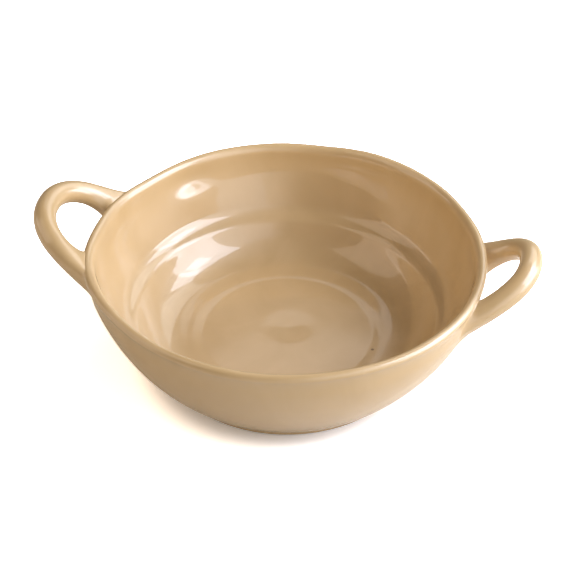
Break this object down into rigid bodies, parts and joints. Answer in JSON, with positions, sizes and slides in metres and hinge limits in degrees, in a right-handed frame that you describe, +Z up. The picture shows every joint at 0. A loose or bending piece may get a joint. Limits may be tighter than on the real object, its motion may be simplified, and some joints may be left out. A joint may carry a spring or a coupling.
{
  "type": "chip and dip bowl",
  "caption": "Wide round serving bowl with a flat floor, a soft inner ledge, a foot ring, and an upswept loop handle on each side.",
  "frame": {"origin": "on the bowl's axis, at the level of the foot ring's underside", "axes": "+Z up out of the bowl's mouth, +X along the two handles towards the smaller one, -Y to the front"},
  "size_m": [0.3214, 0.252, 0.1057],
  "materials": {
    "glaze": "glossy caramel-cream glaze over stoneware",
    "foot_clay": "thin satin glaze that is wiped off the contact ring, which is bare, matt stoneware"
  },
  "bodies": {
    "root": {"bowl_body": "glaze", "foot_ring": "foot_clay", "left_handle": "glaze", "right_handle": "glaze", "left_front_luting_coil": "glaze", "left_back_luting_coil": "glaze", "right_front_luting_coil": "glaze", "right_back_luting_coil": "glaze"}
  },
  "joints": []
}
